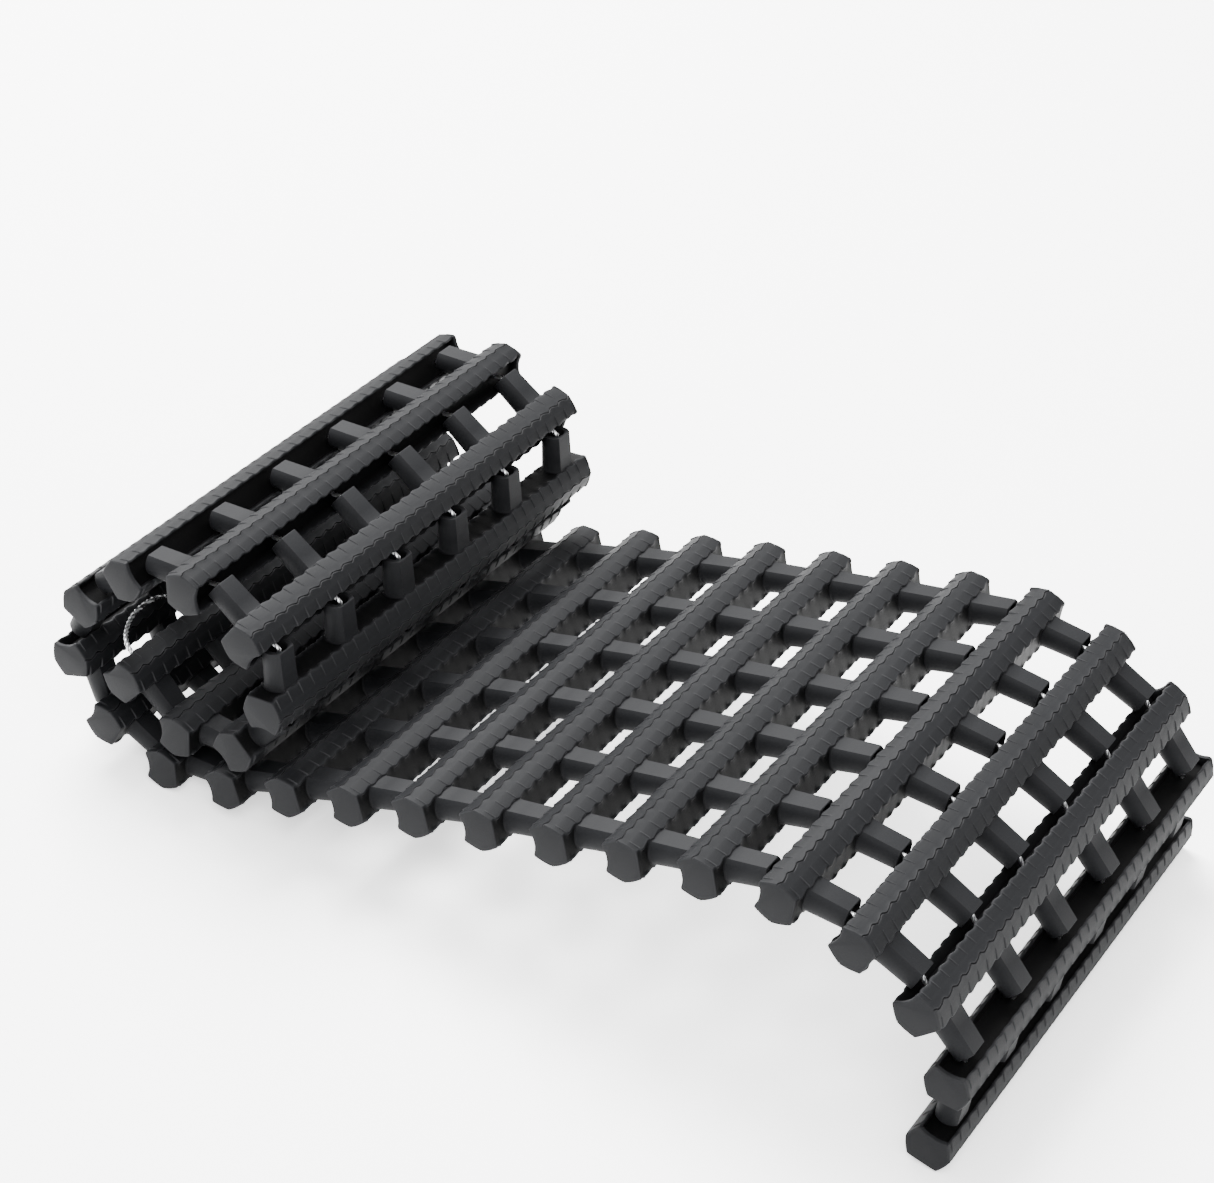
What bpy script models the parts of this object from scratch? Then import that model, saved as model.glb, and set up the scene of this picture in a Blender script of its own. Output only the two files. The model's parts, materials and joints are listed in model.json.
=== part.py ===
"""Roll-up tyre traction mat.

Twenty-four moulded rubber rungs lie side by side and are strung on three steel cables.
Each cable runs out through one row of holes, turns in the channel of the first rung and
comes back through the next row; its two ends are crimped in pockets of the last rung.
The mat stands half rolled: rungs 1 to 11 make the roll, 12 to 19 the flat stretch and
20 to 24 droop to the ground.

Units are metres, +Z is up, +X runs along the mat and Y along the rungs. The origin is
the centre of the footprint, at ground level.
"""

from math import asin, ceil, cos, pi, radians, sin, tan

import bmesh
import bpy
from mathutils import Matrix, Vector

# Driving dimensions of one rung, in its own frame: x along the mat, y along the rung, z up.
RUNG_LENGTH = 0.220
BAR_HALF_WIDTH = 0.0081
BAR_SHOULDER_HEIGHT = 0.0057
RIDGE_HALF_HEIGHT = 0.0090
RIDGE_HALF_WIDTH = 0.0008
LIP_X = -0.0070
CHANNEL_HALF_HEIGHT = 0.0058
CHANNEL_FLOOR_X = -0.0030
CHANNEL_END_WALL = 0.0040

# Spacer bosses, which reach from one bar to the channel of the next.
BOSS_COUNT = 6
BOSS_PITCH = 0.0386
BOSS_RADIUS = 0.0065
BOSS_HALF_HEIGHT = 0.0049
BOSS_ROOT_X = 0.0050
BOSS_TIP_X = 0.02375
BOSS_SIDE_STEPS = 3
BORE_TIP_RADIUS = 0.00375
BORE_FLOOR_RADIUS = 0.00185
BORE_SIDES = 6

# The mat: rung spacing, and how far behind a rung's centre its hinge line lies.
RUNG_COUNT = 24
ROOT_RUNG = 16
RUNG_PITCH = 0.0315
HINGE_BEHIND = 0.0090
HINGE_AHEAD = RUNG_PITCH - HINGE_BEHIND
STAND_TILT = radians(15.8)

# Bend at each hinge in degrees, from the rolled end; positive bends the mat downward.
ROLL_BENDS = (-40, -47, -50, -50, -36, -35, -27, -46, -44, -30, -16)
FLAT_BENDS = (1, 1, 1, 2, 0, 1, 0)
DROOP_BENDS = (18, 20, 22, 47, 8)

# Cables and their crimps.
CABLE_RADIUS = 0.00125
CABLE_BEND_REACH = 0.0048
CABLE_BEND_STEP = radians(20.0)
CABLE_STRAIGHT_BELOW = radians(3.0)
CABLE_NAMES = ("cable_a", "cable_b", "cable_c")
LOOP_START_X = -0.0085
LOOP_DEPTH = 0.0115
LOOP_STEPS = 9
POCKET_RADIUS = 0.0032
POCKET_FLOOR_X = 0.0012
CRIMP_RADIUS = 0.0027
CRIMP_BORE_RADIUS = 0.0017
CRIMP_SIDES = 12
CRIMP_INNER_X = 0.0016
CRIMP_OUTER_X = 0.0074
CABLE_END_X = 0.0070

BOSS_ROWS = [(k - (BOSS_COUNT - 1) / 2) * BOSS_PITCH for k in range(BOSS_COUNT)]
OVERCUT = 0.0010


def clear_scene():
    """Start from an empty scene."""
    for scene_object in list(bpy.data.objects):
        bpy.data.objects.remove(scene_object, do_unlink=True)


def make_material(name, colour, roughness, metallic):
    """Return a Principled material."""
    material = bpy.data.materials.new(name)
    material.use_nodes = True
    shader = material.node_tree.nodes["Principled BSDF"]
    shader.inputs["Base Color"].default_value = (*colour, 1.0)
    shader.inputs["Roughness"].default_value = roughness
    shader.inputs["Metallic"].default_value = metallic
    return material


def link_mesh(name, mesh):
    """Return a new object in the scene that shows the mesh."""
    mesh_object = bpy.data.objects.new(name, mesh)
    bpy.context.collection.objects.link(mesh_object)
    return mesh_object


def loft(name, rings):
    """Return an object whose closed skin joins rings of equal point count, capped at both ends."""
    work = bmesh.new()
    loops = [[work.verts.new(point) for point in ring] for ring in rings]
    count = len(loops[0])
    for first, second in zip(loops, loops[1:]):
        for k in range(count):
            after = (k + 1) % count
            work.faces.new((first[k], first[after], second[after], second[k]))
    work.faces.new(loops[0])
    work.faces.new(loops[-1])
    bmesh.ops.recalc_face_normals(work, faces=work.faces)
    mesh = bpy.data.meshes.new(name)
    work.to_mesh(mesh)
    work.free()
    return link_mesh(name, mesh)


def round_ring(x, y, radius, sides):
    """Points of a circle about the line through y, in the plane at x."""
    steps = [2 * pi * (k + 0.5) / sides for k in range(sides)]
    return [(x, y + radius * cos(angle), radius * sin(angle)) for angle in steps]


def boss_ring(x, y):
    """Points of a circle with a flat top and bottom, in the plane at x."""
    reach = asin(BOSS_HALF_HEIGHT / BOSS_RADIUS)
    points = []
    for side in (0.0, pi):
        for k in range(BOSS_SIDE_STEPS + 1):
            angle = side - reach + 2 * reach * k / BOSS_SIDE_STEPS
            points.append((x, y + BOSS_RADIUS * cos(angle), BOSS_RADIUS * sin(angle)))
    return points


def bar_outline():
    """Corners of the bar section as (x, z): upright sides, and a low ridge above and below."""
    quarter = [(BAR_HALF_WIDTH, BAR_SHOULDER_HEIGHT), (RIDGE_HALF_WIDTH, RIDGE_HALF_HEIGHT)]
    left = [(-x, z) for x, z in reversed(quarter)]
    lower = [(-x, -z) for x, z in quarter + left]
    return quarter + left + lower


def make_bar():
    """Return the plain bar."""
    half = RUNG_LENGTH / 2
    return loft("bar", [[(x, y, z) for x, z in bar_outline()] for y in (-half, half)])


def make_channel():
    """Return the cutter of the channel along the bar's rolled side, with its lips set back."""
    half = RUNG_LENGTH / 2 - CHANNEL_END_WALL
    back = -BAR_HALF_WIDTH - OVERCUT
    above = RIDGE_HALF_HEIGHT + OVERCUT
    upper = [
        (CHANNEL_FLOOR_X, CHANNEL_HALF_HEIGHT),
        (LIP_X, CHANNEL_HALF_HEIGHT),
        (LIP_X, above),
        (back, above),
    ]
    corners = upper + [(x, -z) for x, z in reversed(upper)]
    return loft("channel", [[(x, y, z) for x, z in corners] for y in (-half, half)])


def make_bore(y, end_x):
    """Return the cutter of one tapered cable hole, from inside the channel to end_x."""
    slope = (BORE_TIP_RADIUS - BORE_FLOOR_RADIUS) / (BOSS_TIP_X - CHANNEL_FLOOR_X)
    start_x = CHANNEL_FLOOR_X - OVERCUT
    rings = []
    for x in (start_x, end_x):
        rings.append(round_ring(x, y, BORE_FLOOR_RADIUS + slope * (x - CHANNEL_FLOOR_X), BORE_SIDES))
    return loft("bore", rings)


def make_boss(y):
    """Return one spacer boss."""
    return loft("boss", [boss_ring(BOSS_ROOT_X, y), boss_ring(BOSS_TIP_X, y)])


def make_pocket(y):
    """Return the cutter of one crimp pocket in the last rung's outer wall."""
    inner = round_ring(POCKET_FLOOR_X, y, POCKET_RADIUS, CRIMP_SIDES)
    outer = round_ring(BAR_HALF_WIDTH + OVERCUT, y, POCKET_RADIUS, CRIMP_SIDES)
    return loft("pocket", [inner, outer])


def combine(name, body, additions, cuts):
    """Join and cut the body with EXACT booleans and return the finished mesh."""
    joins = [(piece, "UNION") for piece in additions]
    for tool, operation in joins + [(piece, "DIFFERENCE") for piece in cuts]:
        step = body.modifiers.new(operation.lower(), "BOOLEAN")
        step.solver = "EXACT"
        step.operation = operation
        step.object = tool
    bpy.context.view_layer.update()
    evaluated = body.evaluated_get(bpy.context.evaluated_depsgraph_get())
    mesh = bpy.data.meshes.new_from_object(evaluated)
    mesh.name = name
    for tool in [body, *additions, *cuts]:
        bpy.data.objects.remove(tool, do_unlink=True)
    return mesh


def make_rung_mesh():
    """Return the mesh of a rung with its six bosses."""
    bosses = [make_boss(y) for y in BOSS_ROWS]
    cuts = [make_channel()] + [make_bore(y, BOSS_TIP_X + OVERCUT) for y in BOSS_ROWS]
    return combine("rung", make_bar(), bosses, cuts)


def make_end_rung_mesh():
    """Return the mesh of the last rung, which has crimp pockets instead of bosses."""
    cuts = [make_channel()] + [make_bore(y, POCKET_FLOOR_X + OVERCUT) for y in BOSS_ROWS]
    cuts += [make_pocket(y) for y in BOSS_ROWS]
    return combine("end_rung", make_bar(), [], cuts)


def make_crimp_mesh():
    """Return the mesh of one crimp, a short thick-walled tube on the x axis."""
    work = bmesh.new()
    rings = []
    for x, radius in (
        (CRIMP_INNER_X, CRIMP_BORE_RADIUS),
        (CRIMP_INNER_X, CRIMP_RADIUS),
        (CRIMP_OUTER_X, CRIMP_RADIUS),
        (CRIMP_OUTER_X, CRIMP_BORE_RADIUS),
    ):
        rings.append([work.verts.new(point) for point in round_ring(x, 0.0, radius, CRIMP_SIDES)])
    for ring, after in zip(rings, rings[1:] + rings[:1]):
        for k in range(CRIMP_SIDES):
            turn = (k + 1) % CRIMP_SIDES
            work.faces.new((ring[k], ring[turn], after[turn], after[k]))
    bmesh.ops.recalc_face_normals(work, faces=work.faces)
    mesh = bpy.data.meshes.new("crimp")
    work.to_mesh(mesh)
    work.free()
    mesh.shade_smooth()
    mesh.set_sharp_from_angle(angle=radians(40.0))
    return mesh


def rung_poses():
    """Return each rung's centre pose, hinge by hinge from the root rung both ways."""
    bends = ROLL_BENDS + FLAT_BENDS + DROOP_BENDS
    poses = {ROOT_RUNG: Matrix.Rotation(-STAND_TILT, 4, "Y")}
    steps = {}
    for number, bend in enumerate(bends, start=1):
        turn = Matrix.Rotation(radians(bend), 4, "Y")
        ahead = Matrix.Translation((HINGE_AHEAD, 0.0, 0.0))
        steps[number] = ahead @ turn @ Matrix.Translation((HINGE_BEHIND, 0.0, 0.0))
    for number in range(ROOT_RUNG, RUNG_COUNT):
        poses[number + 1] = poses[number] @ steps[number]
    for number in range(ROOT_RUNG - 1, 0, -1):
        poses[number] = poses[number + 1] @ steps[number].inverted()
    return poses


def stand_on_ground(poses):
    """Shift the poses so the lowest corner is at z = 0 and the footprint is centred in x."""
    boss_corners = [(BOSS_TIP_X, -BOSS_HALF_HEIGHT), (BOSS_TIP_X, BOSS_HALF_HEIGHT)]
    corners = []
    for number, pose in poses.items():
        outline = bar_outline() + (boss_corners if number < RUNG_COUNT else [])
        corners += [pose @ Vector((x, 0.0, z)) for x, z in outline]
    middle = (min(point.x for point in corners) + max(point.x for point in corners)) / 2
    ground = min(point.z for point in corners)
    shift = Matrix.Translation((-middle, 0.0, -ground))
    return {number: shift @ pose for number, pose in poses.items()}


def place_rungs(poses, rung_mesh, end_mesh, rubber):
    """Hang every rung but the root on an empty at its own hinge line."""
    for number in range(1, RUNG_COUNT + 1):
        mesh = end_mesh if number == RUNG_COUNT else rung_mesh
        rung = link_mesh(f"rung_{number:02d}", mesh)
        if not mesh.materials:
            mesh.materials.append(rubber)
        if number == ROOT_RUNG:
            rung.matrix_world = poses[number]
            continue
        hinge_x = -HINGE_BEHIND if number > ROOT_RUNG else HINGE_AHEAD
        hinge = bpy.data.objects.new(f"hinge_of_rung_{number:02d}", None)
        bpy.context.collection.objects.link(hinge)
        hinge.matrix_world = poses[number] @ Matrix.Translation((hinge_x, 0.0, 0.0))
        rung.parent = hinge
        rung.location = (-hinge_x, 0.0, 0.0)


def place_crimps(last_pose, steel):
    """Put one crimp in each pocket of the last rung."""
    mesh = make_crimp_mesh()
    mesh.materials.append(steel)
    for number, y in enumerate(BOSS_ROWS, start=1):
        crimp = link_mesh(f"cable_crimp_{number}", mesh)
        crimp.matrix_world = last_pose @ Matrix.Translation((0.0, y, 0.0))


def bend_points(pose, bend, y):
    """Points of the cable round the hinge ahead of a rung, on an arc that meets both straights."""
    hinge_x = HINGE_AHEAD
    if abs(bend) < CABLE_STRAIGHT_BELOW:
        return [pose @ Vector((hinge_x, y, 0.0))]
    count = 1 + ceil(abs(bend) / CABLE_BEND_STEP)
    radius = CABLE_BEND_REACH / tan(abs(bend) / 2)
    side = -1.0 if bend > 0 else 1.0
    points = []
    for k in range(count):
        angle = abs(bend) * k / (count - 1)
        along = hinge_x - CABLE_BEND_REACH + radius * sin(angle)
        lift = side * radius * (1 - cos(angle))
        points.append(pose @ Vector((along, y, lift)))
    return points


def cable_run(poses, y):
    """Points of one run from the first rung's channel to the crimp in the last rung."""
    bends = ROLL_BENDS + FLAT_BENDS + DROOP_BENDS
    points = [poses[1] @ Vector((LOOP_START_X, y, 0.0))]
    for number, bend in enumerate(bends, start=1):
        points += bend_points(poses[number], radians(bend), y)
    points.append(poses[RUNG_COUNT] @ Vector((CABLE_END_X, y, 0.0)))
    return points


def cable_loop(pose, near_y, far_y):
    """Points of the turn in front of the first rung's channel, between two runs."""
    middle = (near_y + far_y) / 2
    half = (far_y - near_y) / 2
    points = []
    for k in range(1, LOOP_STEPS):
        angle = pi * k / LOOP_STEPS
        along = LOOP_START_X - LOOP_DEPTH * sin(angle)
        points.append(pose @ Vector((along, middle - half * cos(angle), 0.0)))
    return points


def place_cables(poses, steel):
    """Make the three cables, each one out run, a turn and one return run."""
    for number, name in enumerate(CABLE_NAMES):
        near_y, far_y = BOSS_ROWS[2 * number], BOSS_ROWS[2 * number + 1]
        route = list(reversed(cable_run(poses, near_y)))
        route += cable_loop(poses[1], near_y, far_y)
        route += cable_run(poses, far_y)
        curve = bpy.data.curves.new(name, "CURVE")
        curve.dimensions = "3D"
        curve.bevel_depth = CABLE_RADIUS
        curve.bevel_resolution = 2
        curve.use_fill_caps = True
        spline = curve.splines.new("POLY")
        spline.points.add(len(route) - 1)
        for point, place in zip(spline.points, route):
            point.co = (*place, 1.0)
        curve.materials.append(steel)
        bpy.context.collection.objects.link(bpy.data.objects.new(name, curve))


def main():
    """Build the mat."""
    clear_scene()
    rubber = make_material("moulded_rubber", (0.062, 0.065, 0.070), 0.62, 0.0)
    cable_steel = make_material("cable_steel", (0.62, 0.63, 0.64), 0.30, 1.0)
    crimp_steel = make_material("crimp_steel", (0.55, 0.56, 0.57), 0.38, 1.0)
    poses = stand_on_ground(rung_poses())
    place_rungs(poses, make_rung_mesh(), make_end_rung_mesh(), rubber)
    place_crimps(poses[RUNG_COUNT], crimp_steel)
    place_cables(poses, cable_steel)
    bpy.context.view_layer.update()


main()
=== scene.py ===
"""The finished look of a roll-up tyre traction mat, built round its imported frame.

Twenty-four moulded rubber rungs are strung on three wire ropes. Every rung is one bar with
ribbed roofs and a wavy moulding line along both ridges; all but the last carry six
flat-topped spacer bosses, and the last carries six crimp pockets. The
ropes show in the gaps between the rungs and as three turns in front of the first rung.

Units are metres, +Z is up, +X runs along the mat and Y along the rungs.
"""

import json
import logging
from dataclasses import dataclass, field
from enum import Enum
from math import atan2, cos, hypot, pi, radians, sin

import bmesh
import bpy
import numpy as np
from mathutils import Matrix, Vector


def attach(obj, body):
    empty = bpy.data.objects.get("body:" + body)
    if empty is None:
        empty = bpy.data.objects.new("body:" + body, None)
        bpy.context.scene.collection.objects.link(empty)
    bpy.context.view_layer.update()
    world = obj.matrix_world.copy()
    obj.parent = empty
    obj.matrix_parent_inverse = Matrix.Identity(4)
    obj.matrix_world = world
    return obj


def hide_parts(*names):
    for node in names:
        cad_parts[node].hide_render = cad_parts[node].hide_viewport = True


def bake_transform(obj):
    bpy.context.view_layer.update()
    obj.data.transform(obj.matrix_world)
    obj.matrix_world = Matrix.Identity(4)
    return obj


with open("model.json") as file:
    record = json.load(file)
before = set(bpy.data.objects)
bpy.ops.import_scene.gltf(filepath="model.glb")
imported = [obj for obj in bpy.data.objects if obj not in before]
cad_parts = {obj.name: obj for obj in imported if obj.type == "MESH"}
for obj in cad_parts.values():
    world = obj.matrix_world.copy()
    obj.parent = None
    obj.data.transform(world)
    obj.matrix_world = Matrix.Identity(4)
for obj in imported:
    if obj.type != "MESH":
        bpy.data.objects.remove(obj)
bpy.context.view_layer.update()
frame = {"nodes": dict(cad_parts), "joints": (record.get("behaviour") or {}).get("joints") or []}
LOG = logging.getLogger("traction_mat")
RUNG_COUNT = 24
MM = 0.001
HOLE_COUNT = 6
HOLE_PITCH = 38.6 * MM
HOLE_ROWS = tuple((k - (HOLE_COUNT - 1) / 2) * HOLE_PITCH for k in range(HOLE_COUNT))
HINGE_AHEAD = 22.5 * MM
HINGE_BEHIND = 9.0 * MM

Point = tuple[float, float, float]
Ring = list[Point]


class Side(Enum):
    """Which half of a rung's section a row of points belongs to."""

    TOP = 1
    BOTTOM = -1


# --------------------------------------------------------------------------- finishes


def float_input(tree: bpy.types.NodeTree, name: str, value: float) -> None:
    """Add a named number input to a node group."""
    socket = tree.interface.new_socket(name=name, in_out="INPUT", socket_type="NodeSocketFloat")
    socket.default_value = value


class MixSockets:
    """The colour sockets of a Mix node under their plain names."""

    def __init__(self, node: bpy.types.Node) -> None:
        """Pick the enabled sockets out of the node's many typed ones."""
        self.inputs = {s.name: s for s in node.inputs if s.enabled and s.type in ("RGBA", "VALUE")}
        self.outputs = {s.name: s for s in node.outputs if s.enabled}


def start_material(name: str, grain: bpy.types.NodeTree, scale: float) -> tuple:
    """Start a material that uses the grain effect.

    Args:
        name: the material's name.
        grain: the shared moulded-grain group.
        scale: the scale of its grain.

    Returns:
        The material, its node tree, its shader and the grain's height and cloud outputs.
    """
    material = bpy.data.materials.new(name)
    material.use_nodes = True
    tree = material.node_tree
    effect = tree.nodes.new("ShaderNodeGroup")
    effect.node_tree = grain
    effect.inputs["Grain Scale"].default_value = scale
    shader = tree.nodes["Principled BSDF"]
    return material, tree, shader, effect.outputs["Height"], effect.outputs["Cloud"]


def colour_mix(tree: bpy.types.NodeTree, low: Point | None, high: Point) -> MixSockets:
    """Add a colour mix between two tones.

    Args:
        tree: the material's node tree.
        low: the first tone, or None to leave it open for a link.
        high: the second tone.

    Returns:
        The mix node's sockets.
    """
    node = tree.nodes.new("ShaderNodeMix")
    node.data_type = "RGBA"
    mix = MixSockets(node)
    if low is not None:
        mix.inputs["A"].default_value = (*low, 1.0)
    mix.inputs["B"].default_value = (*high, 1.0)
    return mix


def mapped(tree: bpy.types.NodeTree, source: bpy.types.NodeSocket,
           **ends: float) -> bpy.types.NodeSocket:
    """Map a mask from one range to another.

    Args:
        tree: the material's node tree.
        source: the mask.
        ends: the ends that aren't 0 or 1, such as From_Min or To_Max.

    Returns:
        The mapped mask.
    """
    node = tree.nodes.new("ShaderNodeMapRange")
    for title, value in ends.items():
        node.inputs[title.replace("_", " ")].default_value = value
    tree.links.new(source, node.inputs["Value"])
    return node.outputs["Result"]


def mesh_mask(tree: bpy.types.NodeTree, name: str) -> bpy.types.NodeSocket:
    """Return the output that reads one of the mesh's masks.

    Args:
        tree: the material's node tree.
        name: the point attribute's name.
    """
    node = tree.nodes.new("ShaderNodeAttribute")
    node.attribute_name = name
    return node.outputs["Fac"]


def add_bump(tree: bpy.types.NodeTree, height: bpy.types.NodeSocket, strength: float,
             distance: float) -> None:
    """Feed the shader's normal from a height mask.

    Args:
        tree: the material's node tree.
        height: the height mask.
        strength: how strong the bump is.
        distance: how high the bump is, in metres.
    """
    bump = tree.nodes.new("ShaderNodeBump")
    bump.inputs["Strength"].default_value = strength
    bump.inputs["Distance"].default_value = distance
    tree.links.new(height, bump.inputs["Height"])
    tree.links.new(bump.outputs["Normal"], tree.nodes["Principled BSDF"].inputs["Normal"])


def scaled(colour: Point, factor: float) -> Point:
    """Return a colour made paler or darker by a factor."""
    return tuple(factor * channel for channel in colour)


def make_grain_group() -> bpy.types.NodeTree:
    """Build the shared moulded-grain effect.

    Returns:
        A shader node group with a fine grain height and a broad tone mask.
    """
    tree = bpy.data.node_groups.new("moulded_grain", "ShaderNodeTree")
    float_input(tree, "Grain Scale", 1400.0)
    float_input(tree, "Cloud Scale", 38.0)
    for name in ("Height", "Cloud"):
        tree.interface.new_socket(name=name, in_out="OUTPUT", socket_type="NodeSocketFloat")
    start = tree.nodes.new("NodeGroupInput")
    end = tree.nodes.new("NodeGroupOutput")
    place = tree.nodes.new("ShaderNodeTexCoord")
    grain = tree.nodes.new("ShaderNodeTexNoise")
    grain.inputs["Detail"].default_value = 4.0
    grain.inputs["Roughness"].default_value = 0.62
    cloud = tree.nodes.new("ShaderNodeTexNoise")
    cloud.inputs["Detail"].default_value = 3.0
    for texture, size in ((grain, "Grain Scale"), (cloud, "Cloud Scale")):
        tree.links.new(place.outputs["Object"], texture.inputs["Vector"])
        tree.links.new(start.outputs[size], texture.inputs["Scale"])
    tree.links.new(grain.outputs["Fac"], end.inputs["Height"])
    tree.links.new(cloud.outputs["Fac"], end.inputs["Cloud"])
    return tree


@dataclass(frozen=True)
class RubberFinish:
    """Charcoal moulded rubber: fine grain, edges paled by wear and painted highlight, painted
    shade in hollows.
    """

    name: str = "moulded_rubber"
    body: Point = (0.0044, 0.0046, 0.0052)
    # Paler tone for worn edges, also laid on crests, lips and rims as a painted highlight.
    wear_and_highlight: Point = (0.0200, 0.0204, 0.0216)
    # Near-black tone of painted shade in grooves, walls, channels and holes.
    painted_shade: Point = (0.0009, 0.0009, 0.0010)
    roughness: float = 0.56
    specular: float = 0.072
    grain_scale: float = 1400.0
    grain_strength: float = 0.4
    grain_depth: float = 0.12 * MM

    def build(self, grain: bpy.types.NodeTree) -> bpy.types.Material:
        """Build the material.

        Args:
            grain: the shared moulded-grain group.

        Returns:
            The material, which reads the mesh's two masks: wear with painted highlight, and
            painted shade.
        """
        material, tree, shader, height, cloud = start_material(self.name, grain, self.grain_scale)
        shader.inputs["Specular IOR Level"].default_value = self.specular
        tree.links.new(self._tone(tree, height, cloud), shader.inputs["Base Color"])
        low, high = self.roughness - 0.07, self.roughness + 0.09
        tree.links.new(mapped(tree, height, To_Min=low, To_Max=high), shader.inputs["Roughness"])
        add_bump(tree, height, self.grain_strength, self.grain_depth)
        return material

    def _tone(self, tree: bpy.types.NodeTree, height: bpy.types.NodeSocket,
              cloud: bpy.types.NodeSocket) -> bpy.types.NodeSocket:
        """Mix the rubber's tones by the grain, the wear-and-highlight mask and the painted-shade
        mask.

        Args:
            tree: the material's node tree.
            height: the grain's height mask.
            cloud: the grain's broad mask.

        Returns:
            The mixed colour.
        """
        cloudy = colour_mix(tree, self.body, scaled(self.body, 1.28))
        tree.links.new(cloud, cloudy.inputs["Factor"])
        # The paler layer is wear and painted highlight, broken up by cloudy patches.
        lit_scuffs = tree.nodes.new("ShaderNodeMath")
        lit_scuffs.operation = "MULTIPLY"
        patches = mapped(tree, cloud, From_Min=0.30, From_Max=0.62, To_Min=0.45)
        tree.links.new(mesh_mask(tree, "wear_and_highlight"), lit_scuffs.inputs[0])
        tree.links.new(patches, lit_scuffs.inputs[1])
        grains = mapped(tree, height, From_Min=0.45, From_Max=0.80, To_Max=0.8)
        layers = (
            (scaled(self.body, 1.7), grains),
            # The near-black layer is painted shade, laid by the mesh's shade mask.
            (self.painted_shade, mesh_mask(tree, "painted_shade")),
            (self.wear_and_highlight, lit_scuffs.outputs["Value"]),
        )
        tone = cloudy.outputs["Result"]
        for colour, mask in layers:
            layer = colour_mix(tree, None, colour)
            tree.links.new(tone, layer.inputs["A"])
            tree.links.new(mask, layer.inputs["Factor"])
            tone = layer.outputs["Result"]
        return tone


@dataclass(frozen=True)
class SteelFinish:
    """Bright galvanised steel with a faint streaky dullness."""

    name: str
    colour: Point = (0.80, 0.81, 0.82)
    roughness: float = 0.26
    streak_scale: float = 420.0
    dent_strength: float = 0.08
    dent_depth: float = 0.05 * MM

    def build(self, grain: bpy.types.NodeTree) -> bpy.types.Material:
        """Build the material.

        Args:
            grain: the shared moulded-grain group, used here for dull spots.

        Returns:
            The material.
        """
        material, tree, shader, height, cloud = start_material(self.name, grain, self.streak_scale)
        shader.inputs["Metallic"].default_value = 1.0
        tone = colour_mix(tree, scaled(self.colour, 0.72), self.colour)
        tree.links.new(height, tone.inputs["Factor"])
        tree.links.new(tone.outputs["Result"], shader.inputs["Base Color"])
        low, high = self.roughness - 0.06, self.roughness + 0.14
        tree.links.new(mapped(tree, cloud, To_Min=low, To_Max=high), shader.inputs["Roughness"])
        add_bump(tree, height, self.dent_strength, self.dent_depth)
        return material


# --------------------------------------------------------------------------- mesh helpers


def skin_rings(name: str, rings: list[Ring], masks: list[list[tuple[float, float]]],
               close_start: bool = False, close_end: bool = False) -> bpy.types.Mesh:
    """Join closed rings of equal point count into one skin.

    Args:
        name: the mesh's name.
        rings: the rings, in order along the skin.
        masks: for every point of every ring, its wear with painted highlight and its painted
            shade.
        close_start: put a face over the first ring.
        close_end: put a face over the last ring.

    Returns:
        The mesh, with the two masks as point attributes: wear with painted highlight, and painted
        shade.
    """
    count = len(rings[0])
    points = [point for ring in rings for point in ring]
    faces = []
    for row in range(len(rings) - 1):
        for k in range(count):
            after = (k + 1) % count
            low, high = row * count, (row + 1) * count
            faces.append((low + k, low + after, high + after, high + k))
    if close_start:
        faces.append(tuple(reversed(range(count))))
    if close_end:
        faces.append(tuple(range((len(rings) - 1) * count, len(rings) * count)))
    mesh = bpy.data.meshes.new(name)
    mesh.from_pydata(points, [], faces)
    flat = [mask for ring in masks for mask in ring]
    # Store the two masks: wear with painted highlight, and painted shade.
    for index, title in enumerate(("wear_and_highlight", "painted_shade")):
        attribute = mesh.attributes.new(title, "FLOAT", "POINT")
        attribute.data.foreach_set("value", [mask[index] for mask in flat])
    mesh.update()
    return mesh


def lathe_rings(rows: list[tuple[float, float]], sides: int) -> list[Ring]:
    """Turn a profile about the x axis.

    Args:
        rows: the profile's (x, radius) points.
        sides: how many points each ring has.

    Returns:
        One ring for each point of the profile.
    """
    angles = [2 * pi * k / sides for k in range(sides)]
    return [[(x, radius * cos(a), radius * sin(a)) for a in angles] for x, radius in rows]


def helper_object(name: str, mesh: bpy.types.Mesh) -> bpy.types.Object:
    """Put a mesh in the scene.

    Args:
        name: the object's name.
        mesh: its mesh.

    Returns:
        The object, at the origin.
    """
    helper = bpy.data.objects.new(name, mesh)
    bpy.context.scene.collection.objects.link(helper)
    return helper


def set_input(modifier: bpy.types.Modifier, title: str, value: object) -> None:
    """Set a node-tree input by its socket's identifier.

    Args:
        modifier: the Geometry Nodes modifier.
        title: the input's name in the tree.
        value: the value, object or material to give it.
    """
    for item in modifier.node_group.interface.items_tree:
        if item.item_type == "SOCKET" and item.in_out == "INPUT" and item.name == title:
            modifier[item.identifier] = value
            return
    raise KeyError(title)


def bake_nodes(name: str, tree: bpy.types.NodeTree, values: dict[str, object]) -> bpy.types.Mesh:
    """Run a geometry node tree once and keep its result as a plain mesh.

    Args:
        name: the new mesh's name.
        tree: the node tree.
        values: the tree's inputs by name.

    Returns:
        The plain mesh.
    """
    carrier = helper_object(f"{name}_carrier", bpy.data.meshes.new(f"{name}_carrier"))
    modifier = carrier.modifiers.new("nodes", "NODES")
    modifier.node_group = tree
    for title, value in values.items():
        set_input(modifier, title, value)
    bpy.context.view_layer.update()
    evaluated = carrier.evaluated_get(bpy.context.evaluated_depsgraph_get())
    mesh = bpy.data.meshes.new_from_object(evaluated)
    mesh.name = name
    bpy.data.objects.remove(carrier, do_unlink=True)
    return mesh


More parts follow.
